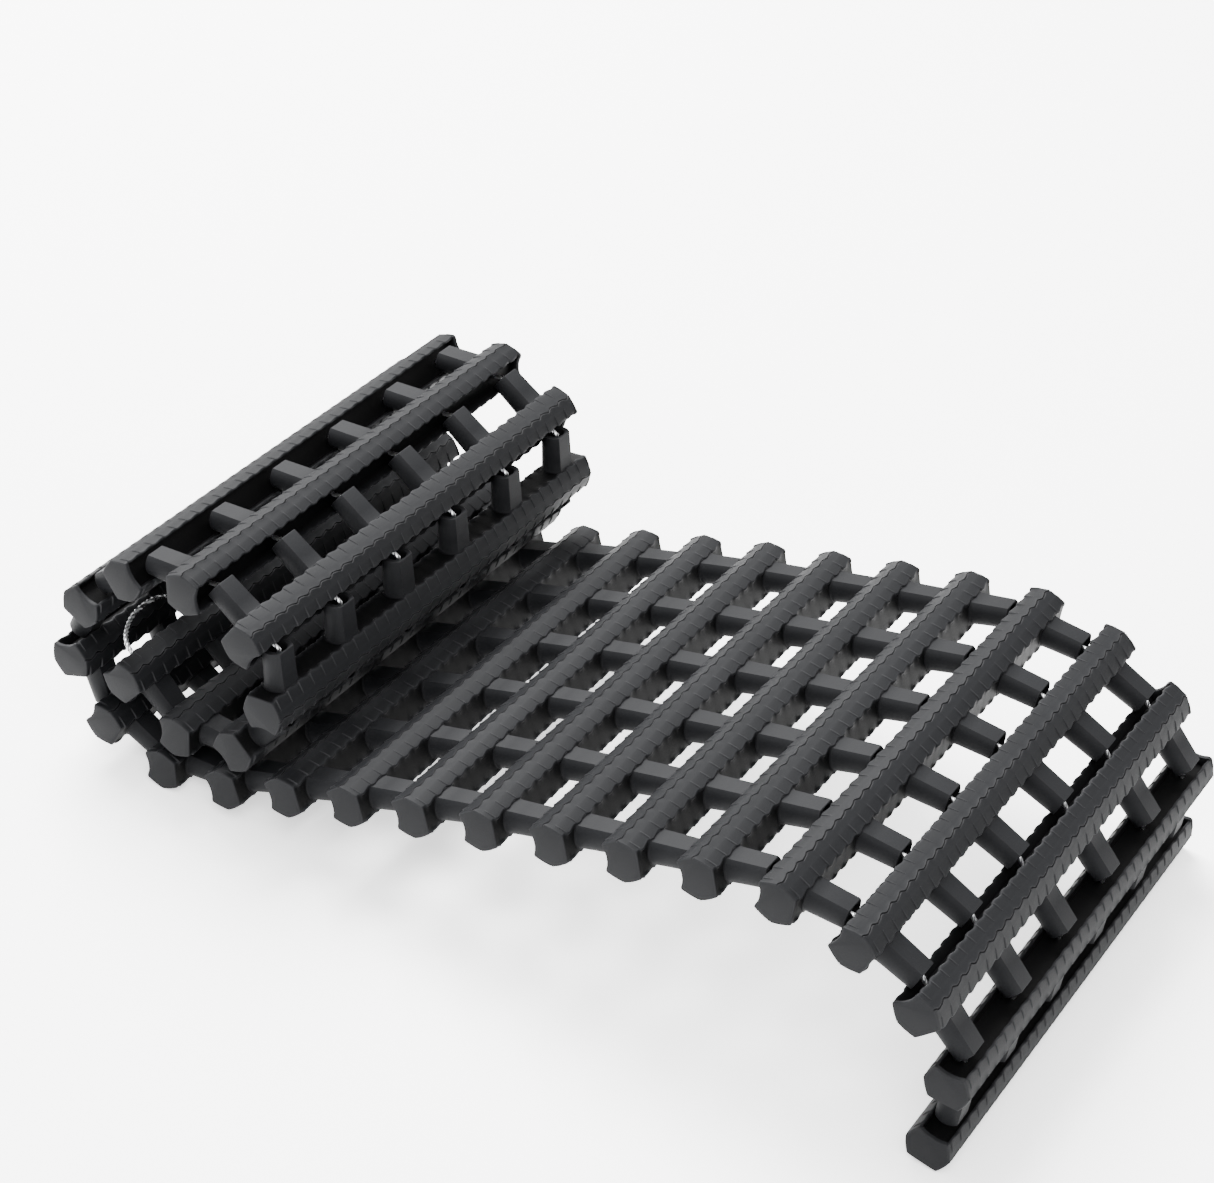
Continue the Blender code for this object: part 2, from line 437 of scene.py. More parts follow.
def face_outwards(mesh: bpy.types.Mesh) -> None:
    """Merge doubled points and turn every face of the mesh outwards.

    Args:
        mesh: the mesh, changed in place.
    """
    work = bmesh.new()
    work.from_mesh(mesh)
    bmesh.ops.remove_doubles(work, verts=work.verts, dist=0.004 * MM)
    bmesh.ops.recalc_face_normals(work, faces=work.faces)
    work.to_mesh(mesh)
    work.free()


# --------------------------------------------------------------------------- node trees


class Wiring:
    """A short way to add nodes and links to one geometry node tree."""

    def __init__(self, name: str) -> None:
        """Start an empty geometry node tree with a Geometry output."""
        self.tree = bpy.data.node_groups.new(name, "GeometryNodeTree")
        self.tree.interface.new_socket(
            name="Geometry", in_out="OUTPUT", socket_type="NodeSocketGeometry"
        )

    def add_inputs(self, **kinds: str) -> None:
        """Add named inputs, each given as its name (spaces written as _) and kind of socket."""
        for name, kind in kinds.items():
            self.tree.interface.new_socket(
                name=name.replace("_", " "), in_out="INPUT", socket_type=f"NodeSocket{kind}"
            )

    def node(self, kind: str, **sockets: object) -> bpy.types.Node:
        """Add a node.

        Args:
            kind: the node's type.
            sockets: socket name (spaces written as _) to a value or to the output that feeds it.

        Returns:
            The node.
        """
        made = self.tree.nodes.new(kind)
        for title, source in sockets.items():
            socket = made.inputs[title.replace("_", " ")]
            if isinstance(source, bpy.types.NodeSocket):
                self.tree.links.new(source, socket)
            else:
                socket.default_value = source
        return made

    def math(self, operation: str, *terms: object) -> bpy.types.NodeSocket:
        """Add a sum.

        Args:
            operation: the Math node's operation.
            terms: its two terms, each a number or an output.

        Returns:
            The result.
        """
        made = self.tree.nodes.new("ShaderNodeMath")
        made.operation = operation
        for socket, source in zip(made.inputs, terms):
            if isinstance(source, bpy.types.NodeSocket):
                self.tree.links.new(source, socket)
            else:
                socket.default_value = source
        return made.outputs["Value"]

    def finish(self, geometry: bpy.types.NodeSocket, material: bpy.types.NodeSocket) -> None:
        """End the tree in Realize Instances and Set Material.

        Args:
            geometry: what the tree has made.
            material: the material to set.
        """
        real = self.node("GeometryNodeRealizeInstances", Geometry=geometry)
        dressed = self.node(
            "GeometryNodeSetMaterial", Geometry=real.outputs["Geometry"], Material=material
        )
        end = self.tree.nodes.new("NodeGroupOutput")
        self.tree.links.new(dressed.outputs["Geometry"], end.inputs["Geometry"])


def make_row_tree() -> bpy.types.NodeTree:
    """Build the tree that lays one object out in an even row along Y.

    Returns:
        A tree with inputs Item, Count, Pitch and Material.
    """
    wiring = Wiring("even_row")
    wiring.add_inputs(Item="Object", Count="Int", Pitch="Float", Material="Material")
    start = wiring.tree.nodes.new("NodeGroupInput")
    step = wiring.node("ShaderNodeCombineXYZ", Y=start.outputs["Pitch"])
    gaps = wiring.math("SUBTRACT", start.outputs["Count"], 1.0)
    reach = wiring.math("MULTIPLY", gaps, start.outputs["Pitch"])
    origin = wiring.node("ShaderNodeCombineXYZ", Y=wiring.math("MULTIPLY", reach, -0.5))
    row = wiring.node(
        "GeometryNodeMeshLine",
        Count=start.outputs["Count"],
        Start_Location=origin.outputs["Vector"],
        Offset=step.outputs["Vector"],
    )
    item = wiring.node("GeometryNodeObjectInfo", Object=start.outputs["Item"])
    spread = wiring.node(
        "GeometryNodeInstanceOnPoints",
        Points=row.outputs["Mesh"],
        Instance=item.outputs["Geometry"],
    )
    wiring.finish(spread.outputs["Instances"], start.outputs["Material"])
    return wiring.tree


def make_rope_tree() -> bpy.types.NodeTree:
    """Build the tree that turns curves into twisted wire rope.

    Returns:
        A tree with inputs Path, Section, Lay Length and Material.
    """
    wiring = Wiring("wire_rope")
    wiring.add_inputs(Path="Object", Section="Object", Lay_Length="Float", Material="Material")
    start = wiring.tree.nodes.new("NodeGroupInput")
    path = wiring.node("GeometryNodeObjectInfo", Object=start.outputs["Path"])
    section = wiring.node("GeometryNodeObjectInfo", Object=start.outputs["Section"])
    along = wiring.tree.nodes.new("GeometryNodeSplineParameter")
    turns = wiring.math("DIVIDE", along.outputs["Length"], start.outputs["Lay Length"])
    angle = wiring.math("MULTIPLY", turns, 2 * pi)
    twist = wiring.node("GeometryNodeSetCurveTilt", Curve=path.outputs["Geometry"], Tilt=angle)
    skin = wiring.node(
        "GeometryNodeCurveToMesh",
        Curve=twist.outputs["Curve"],
        Profile_Curve=section.outputs["Geometry"],
        Fill_Caps=True,
    )
    wiring.finish(skin.outputs["Mesh"], start.outputs["Material"])
    return wiring.tree


# --------------------------------------------------------------------------- rungs


@dataclass
class RungSection:
    """The cross-section of a rung at any place along it, x across the rung and z up."""

    ridge_height: float = 9.0 * MM
    roof_drop: float = 3.45 * MM
    roof_power: float = 1.4
    half_width: float = 8.1 * MM
    lip_reach: float = 7.55 * MM
    wall_x: float = 7.45 * MM
    shoulder_drop: float = 0.40 * MM
    channel_half: float = 5.25 * MM
    channel_floor: float = -3.0 * MM
    scallop: float = 0.80 * MM
    rib_height: float = 0.42 * MM
    pad_rise: float = 0.20 * MM
    rib_share: float = 0.09
    rib_place: float = 0.12
    band_start: float = 3.3 * MM
    seam_wave: float = 0.48 * MM
    seam_half: float = 0.36 * MM
    seam_depth: float = 0.36 * MM
    seam_lip: float = 0.13 * MM

    def roof(self, x: float) -> float:
        """Height of the plain roof at x."""
        return self.ridge_height - self.roof_drop * (abs(x) / self.half_width) ** self.roof_power

    def scallop_cut(self, phase: float) -> float:
        """How far the edge is cut back at a phase of the rib pitch."""
        bump = 0.5 - 0.5 * cos(2 * pi * (phase % 1.0) ** 0.62)
        return self.scallop * (1.0 - bump)

    def rib(self, phase: float) -> float:
        """How much of a rib stands at a phase of the rib pitch, from 0 to 1."""
        away = abs(((phase - self.rib_place + 0.5) % 1.0) - 0.5) / (self.rib_share / 2)
        return max(0.0, 1.0 - away * away) ** 0.8 if away < 1.0 else 0.0

    def pad(self, phase: float) -> float:
        """How far the pad between two ribs slants up at a phase of the rib pitch."""
        return self.pad_rise * ((self.rib_place - phase) % 1.0)

    def seam_cut(self, phase: float) -> float:
        """How deep the moulding line is at a phase of the rib pitch, deepest on the slants."""
        return self.seam_depth * (0.45 + 0.55 * max(0.0, cos(2 * pi * phase)))

    def seam_x(self, phase: float) -> float:
        """Where the moulding line runs at a phase of the rib pitch."""
        turn = 2 * pi * phase
        return self.seam_wave * (sin(turn) + 0.28 * sin(2 * turn + 0.6))

    def _flank(self, edge: float, lift: float, rib: float) -> list[tuple]:
        """Build the ribbed part of one slope.

        Args:
            edge: the distance from the ridge to the edge.
            lift: how far the slope is raised here.
            rib: how much of a rib stands here.

        Returns:
            Distance from the ridge, lift and masks of each point, from the edge inwards.
        """
        # The edge and the rib crests get the paler mask, wear with painted highlight; the pads
        # between ribs get a little painted shade.
        rows = [
            (edge, -self.shoulder_drop, 0.10),
            (edge - 0.10 * MM, 0.7 * lift - 0.06 * MM, 0.45 + 0.5 * rib),
            (edge - 0.42 * MM, lift, 0.10 + 0.9 * rib),
        ]
        for share in (0.74, 0.42, 0.16):
            x = self.band_start + (edge - self.band_start) * share
            wear_and_highlight = (0.5 + 0.5 * share) * rib
            rows.append((x, lift * (0.45 + 0.55 * share), wear_and_highlight, 0.12 * (1 - rib)))
        rows.append((self.band_start, 0.1 * lift, 0.06))
        return rows

    def roof_row(self, phase: float, reach: float, side: Side) -> tuple[list, list]:
        """Build the points over one roof, from the -x edge to the +x edge.

        Args:
            phase: the place along the rung in rib pitches.
            reach: how far the -x edge reaches at its fullest.
            side: the upper or the lower roof.

        Returns:
            The (x, z) points and their (rubbed, hollow) masks.
        """
        cut = self.scallop_cut(phase)
        rib = self.rib(phase)
        lift = rib * self.rib_height + self.pad(phase)
        right = self.half_width - cut
        left = reach - 0.85 * cut
        points, masks = [], []

        def put(x: float, lift: float, wear_and_highlight: float, painted_shade: float = 0.0) -> None:
            points.append((x, side.value * (self.roof(x) + lift)))
            masks.append((wear_and_highlight, painted_shade))

        for x, *values in self._flank(left, lift, rib):
            put(-x, *values)
        put(-self.band_start + 1.0 * MM, 0.0, 0.0)
        # The moulding line's lips get the paler mask as painted highlight, and its groove painted
        # shade.
        middle = self.seam_x(phase)
        half = self.seam_half
        put(middle - 2.2 * half, 0.0, 0.05)
        put(middle - 1.15 * half, self.seam_lip, 0.42)
        deep = self.seam_cut(phase)
        put(middle - 0.45 * half, -0.6 * deep, 0.0, 0.7)
        put(middle + 0.25 * half, -deep, 0.0, 0.9)
        put(middle + 0.75 * half, -0.1 * deep, 0.05, 0.2)
        put(middle + 1.3 * half, 0.5 * self.seam_lip, 0.25)
        put(middle + 2.4 * half, 0.0, 0.05)
        put(self.band_start - 0.8 * MM, 0.0, 0.0)
        for row in reversed(self._flank(right, lift, rib)):
            put(*row)
        return points, masks

    def outline(self, phase: float, walled: bool) -> tuple[list, list]:
        """Build the whole closed section.

        Args:
            phase: the place along the rung in rib pitches.
            walled: True where the channel is closed off, near the rung's ends.

        Returns:
            The (x, z) points, anticlockwise seen from -y, and their masks.
        """
        reach = self.half_width if walled else self.lip_reach
        top, top_masks = self.roof_row(phase, reach, Side.TOP)
        low, low_masks = self.roof_row(phase, reach, Side.BOTTOM)
        right_x, right_z = top[-1]
        wall, wall_masks = [], []
        # The side wall between the bosses is darkened with painted shade.
        for share, painted_shade in ((0.84, 0.75), (0.45, 1.0)):
            x = self.wall_x + (right_x - self.wall_x) * (0.2 if share > 0.5 else 0.0)
            wall.append((x, right_z * share))
            wall_masks.append((0.0, painted_shade))
        wall += [(x, -z) for x, z in reversed(wall)]
        wall_masks += list(reversed(wall_masks))
        left_x, left_z = top[0]
        # Near the ends the lips get the paler mask, wear with painted highlight; the open channel
        # is darkened with painted shade.
        if walled:
            dips = ((0.86, 0.15), (0.60, 0.75), (0.25, 1.15))
            slot = [(left_x + dip * MM, left_z * share) for share, dip in dips]
            slot_masks = [(0.3, 0.0)] * 3
        else:
            slot = [
                (left_x + 0.15 * MM, self.channel_half),
                (left_x + 1.2 * MM, self.channel_half - 0.1 * MM),
                (self.channel_floor, self.channel_half - 0.2 * MM),
            ]
            slot_masks = [(0.1, 0.25), (0.0, 0.7), (0.0, 1.0)]
        channel = [(x, -z) for x, z in slot] + list(reversed(slot))
        channel_masks = slot_masks + list(reversed(slot_masks))
        points = top + wall + list(reversed(low)) + channel
        masks = top_masks + wall_masks + list(reversed(low_masks)) + channel_masks
        return points, masks


@dataclass
class RungBar:
    """The bar of a rung: ribbed length made of equal tiles, and two closed ends."""

    section: RungSection = field(default_factory=RungSection)
    half_length: float = 110.0 * MM
    end_wall: float = 1.7 * MM
    rib_count: int = 31
    steps: tuple[float, ...] = (
        0.0, 0.075, 0.10, 0.12, 0.14, 0.165, 0.26, 0.38, 0.5, 0.62, 0.74, 0.87
    )
    end_round: float = 0.75 * MM

    @property
    def pitch(self) -> float:
        """Distance from one rib to the next."""
        return 2 * (self.half_length - self.end_wall) / self.rib_count

    def tile(self) -> bpy.types.Mesh:
        """Make one rib pitch of the bar, centred on its own middle."""
        rings, masks = [], []
        for phase in (*self.steps, 1.0):
            points, mask = self.section.outline(phase % 1.0, walled=False)
            y = (phase - 0.5) * self.pitch
            rings.append([(x, y, z) for x, z in points])
            masks.append(mask)
        return skin_rings("rib_tile", rings, masks)

    def end(self, near: bool) -> bpy.types.Mesh:
        """Make one closed end of the bar.

        Args:
            near: True for the end at -y.

        Returns:
            The mesh, in the rung's own frame.
        """
        turn = -1.0 if near else 1.0
        inner = self.half_length - self.end_wall
        rings, masks = [], []
        open_points, open_mask = self.section.outline(0.0, walled=False)
        rings.append([(x, turn * inner, z) for x, z in open_points])
        masks.append(open_mask)
        span = self.end_wall - self.end_round
        for share in np.linspace(0.0, 1.0, 5):
            along = share * span
            phase = (turn * along / self.pitch) % 1.0
            points, mask = self.section.outline(phase, walled=True)
            rings.append([(x, turn * (inner + along), z) for x, z in points])
            masks.append(mask)
        last = points
        for angle in (30.0, 60.0, 90.0):
            inset = self.end_round * (1.0 - cos(radians(angle)))
            y = self.half_length - self.end_round + self.end_round * sin(radians(angle))
            shrink = 1.0 - inset / self.section.half_width
            rings.append([(x * shrink, turn * y, z * shrink) for x, z in last])
            # The rounded end edge gets the paler mask, wear with painted highlight.
            masks.append([(0.35 if angle < 80.0 else 0.0, 0.0)] * len(last))
        return skin_rings("bar_end", rings, masks, close_end=True)


@dataclass
class SpacerBoss:
    """A flat-topped spacer boss with the cable hole in its tip."""

    root_x: float = 5.0 * MM
    wall_x: float = 7.45 * MM
    tip_x: float = 23.75 * MM
    radius: float = 6.5 * MM
    half_height: float = 4.9 * MM
    fillet: float = 0.75 * MM
    tip_round: float = 0.45 * MM
    hole_radius: float = 3.75 * MM
    hole_end_radius: float = 2.3 * MM
    hole_end_x: float = 7.0 * MM
    taper: float = 0.45 * MM
    arc_steps: int = 9
    flat_steps: int = 4

    def ring(self, x: float, grow: float) -> Ring:
        """Points round the boss.

        Args:
            x: the place along the boss.
            grow: how far outside its plain outline the points lie.

        Returns:
            The points, anticlockwise seen from the tip.
        """
        radius = self.radius + grow
        height = self.half_height + grow
        reach = atan2(height, (radius * radius - height * height) ** 0.5)
        points = []
        for side in (0.0, pi):
            for k in range(self.arc_steps):
                angle = side - reach + 2 * reach * k / (self.arc_steps - 1)
                points.append((x, radius * cos(angle), radius * sin(angle)))
            edge = radius * cos(reach)
            turn = 1.0 if side == 0.0 else -1.0
            for k in range(1, self.flat_steps):
                across = edge * (1.0 - 2.0 * k / self.flat_steps)
                points.append((x, turn * across, turn * height))
        return points

    def hole_ring(self, x: float, radius: float) -> Ring:
        """Points round the cable hole, matched one to one with the outer ring.

        Args:
            x: the place along the hole.
            radius: the hole's radius there.

        Returns:
            The points.
        """
        points = []
        for _, y, z in self.ring(x, 0.0):
            size = hypot(y, z)
            points.append((x, y * radius / size, z * radius / size))
        return points

    def mesh(self) -> bpy.types.Mesh:
        """Make the boss with the cable hole in its tip, painted shade at its root and in the hole,
        and wear with painted highlight round the tip.

        Returns:
            The mesh, along +x.
        """
        edge = self.tip_round
        # Each row: a ring, its paler mask (wear with painted highlight) and its painted shade.
        rows: list[tuple[Ring, float, float]] = [
            (self.ring(self.root_x, self.fillet), 0.0, 0.3),
            (self.ring(self.wall_x + 0.10 * MM, self.fillet), 0.0, 0.35),
            (self.ring(self.wall_x + 0.35 * MM, 0.35 * self.fillet), 0.0, 0.25),
            (self.ring(self.wall_x + 0.9 * MM, 0.0), 0.0, 0.1),
            (self.ring(self.wall_x + 6.0 * MM, -0.4 * self.taper), 0.0, 0.0),
            (self.ring(self.tip_x - edge, -self.taper), 0.15, 0.0),
            (self.ring(self.tip_x - 0.4 * edge, -self.taper - 0.18 * edge), 0.6, 0.0),
            (self.ring(self.tip_x, -self.taper - 0.8 * edge), 0.45, 0.0),
            (self.hole_ring(self.tip_x, self.hole_radius + 0.3 * MM), 0.2, 0.1),
            (self.hole_ring(self.tip_x - 0.35 * MM, self.hole_radius), 0.2, 0.5),
            (self.hole_ring(self.tip_x - 4.0 * MM, self.hole_radius - 0.35 * MM), 0.0, 1.0),
            (self.hole_ring(self.hole_end_x, self.hole_end_radius), 0.0, 1.0),
        ]
        rings = [row[0] for row in rows]
        masks = [[(row[1], row[2])] * len(rings[0]) for row in rows]
        mesh = skin_rings("spacer_boss", rings, masks, close_start=True, close_end=True)
        face_outwards(mesh)
        return mesh


@dataclass
class CrimpPocket:
    """The rimmed pocket of a crimp in the last rung's outer wall, dark inside with painted shade.
    """

    mouth_x: float = 7.62 * MM
    radius: float = 3.2 * MM
    rim: float = 0.9 * MM
    sides: int = 28

    def mesh(self) -> bpy.types.Mesh:
        """Make the raised rim, paler with painted highlight, and the inside of the pocket, a
        shallow disc darkened with painted shade.

        Returns:
            The mesh, along +x.
        """
        # Each row: x, radius, paler mask (wear with painted highlight) and painted shade.
        rows = (
            (self.mouth_x - 1.2 * MM, self.radius + self.rim, 0.0, 0.2),
            (self.mouth_x, self.radius + self.rim, 0.1, 0.1),
            (self.mouth_x + 0.28 * MM, self.radius + 0.65 * self.rim, 0.4, 0.0),
            (self.mouth_x + 0.28 * MM, self.radius + 0.2 * self.rim, 0.3, 0.1),
            (self.mouth_x, self.radius, 0.1, 0.5),
            (self.mouth_x - 0.2 * MM, self.radius - 0.05 * MM, 0.0, 1.0),
        )
        rings = lathe_rings([row[:2] for row in rows], self.sides)
        masks = [[row[2:]] * self.sides for row in rows]
        mesh = skin_rings("crimp_pocket", rings, masks, close_start=True, close_end=True)
        face_outwards(mesh)
        return mesh


@dataclass
class RungSet:
    """All the rungs, each one plain mesh that rides on its own body."""

    poses: dict[int, Matrix]
    bar: RungBar = field(default_factory=RungBar)
    boss: SpacerBoss = field(default_factory=SpacerBoss)
    pocket: CrimpPocket = field(default_factory=CrimpPocket)
    sharp_angle: float = radians(24.0)

    def build(self, rubber: bpy.types.Material) -> list[bpy.types.Object]:
        """Build and place every rung.

        Args:
            rubber: the rubber finish.

        Returns:
            The finished pieces.
        """
        row_tree = make_row_tree()
        bar_mesh = self._bar_mesh(row_tree, rubber)
        holes = (rubber, HOLE_COUNT, HOLE_PITCH)
        boss_row = self._row("boss_row", row_tree, self.boss.mesh(), *holes)
        pocket_row = self._row("pocket_row", row_tree, self.pocket.mesh(), *holes)
        bossed = self._joined("bossed_rung", [bar_mesh, boss_row], rubber)
        last = self._joined("last_rung", [bar_mesh, pocket_row], rubber)
        pieces = []
        for number, pose in self.poses.items():
            mesh = (last if number == RUNG_COUNT else bossed).copy()
            mesh.transform(pose)
            name = rung_name(number)
            piece = helper_object(f"moulded_{name}", mesh)
            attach(piece, name)
            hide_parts(name)
            LOG.info("%s: %d faces on %s", piece.name, len(mesh.polygons), name)
            pieces.append(piece)
        for spare in (bar_mesh, boss_row, pocket_row, bossed, last):
            bpy.data.meshes.remove(spare)
        return pieces

    @staticmethod
    def _row(name: str, tree: bpy.types.NodeTree, item: bpy.types.Mesh,
             rubber: bpy.types.Material, count: int, pitch: float) -> bpy.types.Mesh:
        """Lay one item out in a row along the rung.

        Args:
            name: the row's name.
            tree: the even-row tree.
            item: the item's mesh.
            rubber: the rubber finish.
            count: how many of the item there are.
            pitch: the distance from one to the next.

        Returns:
            The row's mesh.
        """
        helper = helper_object(f"{name}_item", item)
        values = {"Item": helper, "Count": count, "Pitch": pitch, "Material": rubber}
        mesh = bake_nodes(name, tree, values)
        bpy.data.objects.remove(helper, do_unlink=True)
        return mesh

    def _bar_mesh(self, tree: bpy.types.NodeTree, rubber: bpy.types.Material) -> bpy.types.Mesh:
        """Make the closed bar from its repeated tile and its two ends.

        Args:
            tree: the even-row tree.
            rubber: the rubber finish.

        Returns:
            The bar's mesh.
        """
        bar = self.bar
        ribbed = self._row("ribbed_length", tree, bar.tile(), rubber, bar.rib_count, bar.pitch)
        ends = [bar.end(near) for near in (True, False)]
        mesh = self._joined("bar", [ribbed, *ends], rubber)
        face_outwards(mesh)
        return mesh

    def _joined(self, name: str, meshes: list[bpy.types.Mesh],
                rubber: bpy.types.Material) -> bpy.types.Mesh:
        """Join meshes into one, with their masks and one material.

        Args:
            name: the new mesh's name.
            meshes: the meshes to join.
            rubber: the rubber finish.

        Returns:
            The joined mesh, with its crisp edges marked.
        """
        work = bmesh.new()
        for mesh in meshes:
            work.from_mesh(mesh)
        joined = bpy.data.meshes.new(name)
        work.to_mesh(joined)
        work.free()
        joined.materials.clear()
        joined.materials.append(rubber)
        joined.polygons.foreach_set("material_index", [0] * len(joined.polygons))
        joined.shade_smooth()
        joined.set_sharp_from_angle(angle=self.sharp_angle)
        return joined


# --------------------------------------------------------------------------- wire ropes


@dataclass
class WireRopes:
    """The three ropes: a length shaped to the fold of every gap, and a turn at the first rung."""

    poses: dict[int, Matrix]
    bends: dict[int, float]
    radius: float = 1.05 * MM
    strands: int = 6
    groove: float = 0.24
    lay_length: float = 11.0 * MM
    point_step: float = 1.2
    bend_steps: int = 8
    turn_steps: int = 24
    bend_reach: float = 4.8 * MM
    loop_start: float = -8.5 * MM
    loop_depth: float = 11.5 * MM
    root_rung: int = 16

    def build(self, steel: bpy.types.Material) -> list[bpy.types.Object]:
        """Build every length of rope.

        Args:
            steel: the rope's finish.

        Returns:
            The finished pieces.
        """
        tree = make_rope_tree()
        section = self._section()
        pieces = []
        for number in range(1, RUNG_COUNT):
            piece = self._gap(number, tree, section, steel)
            pieces.append(piece)
        pieces.append(self._turns(tree, section, steel))
        bpy.data.objects.remove(section, do_unlink=True)
        return pieces

    def _section(self) -> bpy.types.Object:
        """Make the lobed section of a twisted rope as a curve.

        Returns:
            The curve's object.
        """
        points = []
        for k in range(2 * self.strands):
            angle = pi * k / self.strands
            size = self.radius * (1.0 if k % 2 == 0 else 1.0 - self.groove)
            points.append((size * cos(angle), size * sin(angle), 0.0))
        return self._curve("rope_section", [points], closed=True)

    @staticmethod
    def _curve(name: str, routes: list[list], closed: bool = False) -> bpy.types.Object:
        """Make a curve object with one straight-segment spline for each route.

        Args:
            name: the curve's name.
            routes: the points of each spline.
            closed: True for closed splines.

        Returns:
            The curve's object.
        """
        curve = bpy.data.curves.new(name, "CURVE")
        curve.dimensions = "3D"
        for route in routes:
            spline = curve.splines.new("POLY")
            spline.points.add(len(route) - 1)
            for point, place in zip(spline.points, route):
                point.co = (*place, 1.0)
            spline.use_cyclic_u = closed
        holder = bpy.data.objects.new(name, curve)
        bpy.context.scene.collection.objects.link(holder)
        return holder

    def _rope_mesh(self, name: str, routes: list[list], tree: bpy.types.NodeTree,
                   section: bpy.types.Object, steel: bpy.types.Material) -> bpy.types.Mesh:
        """Turn routes into rope.

        Args:
            name: the mesh's name.
            routes: the points of each length of rope.
            tree: the rope tree.
            section: the rope's section.
            steel: the rope's finish.

        Returns:
            The ropes as one mesh.
        """
        path = self._curve(f"{name}_path", routes)
        values = {"Path": path, "Section": section, "Material": steel}
        values["Lay Length"] = self.lay_length
        mesh = bake_nodes(name, tree, values)
        bpy.data.objects.remove(path, do_unlink=True)
        face_outwards(mesh)
        mesh.shade_smooth()
        mesh.set_sharp_from_angle(angle=radians(75.0))
        return mesh

    def _route(self, number: int, y: float) -> list[Vector]:
        """Points of the rope through the gap ahead of a rung, from hole to hole.

        Args:
            number: the rung's number.
            y: the row of holes.

        Returns:
            The points, which swing from one rung's line to the next about the fold.
        """
        bend = self.bends[number]
        pose = self.poses[number]
        after = self.poses[number + 1]
        points = [pose @ Vector((x * MM, y, 0.0)) for x in np.arange(8.0, 17.6, self.point_step)]
        for k in range(self.bend_steps + 1):
            share = k / self.bend_steps
            along = -self.bend_reach + 2 * self.bend_reach * share
            sag = 0.25 * self.bend_reach * (1 - (2 * share - 1) ** 2) * sin(abs(bend) / 2)
            side = -1.0 if bend > 0 else 1.0
            if share <= 0.5:
                place = pose @ Vector((HINGE_AHEAD + along, y, side * -sag))
            else:
                place = after @ Vector((-HINGE_BEHIND + along, y, side * -sag))
            points.append(place)
        inner = np.arange(-3.1, 8.1, self.point_step)
        points += [after @ Vector((x * MM, y, 0.0)) for x in inner]
        return points

    def _gap(self, number: int, tree: bpy.types.NodeTree, section: bpy.types.Object,
             steel: bpy.types.Material) -> bpy.types.Object:
        """Make the six lengths of rope in one gap, shaped to its fold's rest angle.

        Args:
            number: the fold's number.
            tree: the rope tree.
            section: the rope's section.
            steel: the rope's finish.

        Returns:
            The finished piece.
        """
        name = f"rope_gap_{number:02d}"
        routes = [self._route(number, y) for y in HOLE_ROWS]
        mesh = self._rope_mesh(name, routes, tree, section, steel)
        piece = helper_object(name, mesh)
        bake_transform(piece)
        if number == self.root_rung:
            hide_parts("cable_a", "cable_b", "cable_c")
        LOG.info("%s: %d faces", name, len(mesh.polygons))
        return piece

    def _turns(self, tree: bpy.types.NodeTree, section: bpy.types.Object,
               steel: bpy.types.Material) -> bpy.types.Object:
        """Make the three turns in front of the first rung.

        Args:
            tree: the rope tree.
            section: the rope's section.
            steel: the rope's finish.

        Returns:
            The finished piece.
        """
        pose = self.poses[1]
        routes = []
        for near, far in zip(HOLE_ROWS[0::2], HOLE_ROWS[1::2]):
            middle, half = (near + far) / 2, (far - near) / 2
            route = [(x * MM, near) for x in (8.0, 4.0, 0.0, -4.0, -7.0)]
            for k in range(self.turn_steps + 1):
                angle = pi * k / self.turn_steps
                x = self.loop_start - self.loop_depth * sin(angle)
                route.append((x, middle - half * cos(angle)))
            route += [(x * MM, far) for x in (-7.0, -4.0, 0.0, 4.0, 8.0)]
            routes.append([pose @ Vector((x, y, 0.0)) for x, y in route])
        mesh = self._rope_mesh("rope_turns", routes, tree, section, steel)
        piece = helper_object("rope_turns", mesh)
        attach(piece, rung_name(1))
        LOG.info("rope_turns: %d faces", len(mesh.polygons))
        return piece


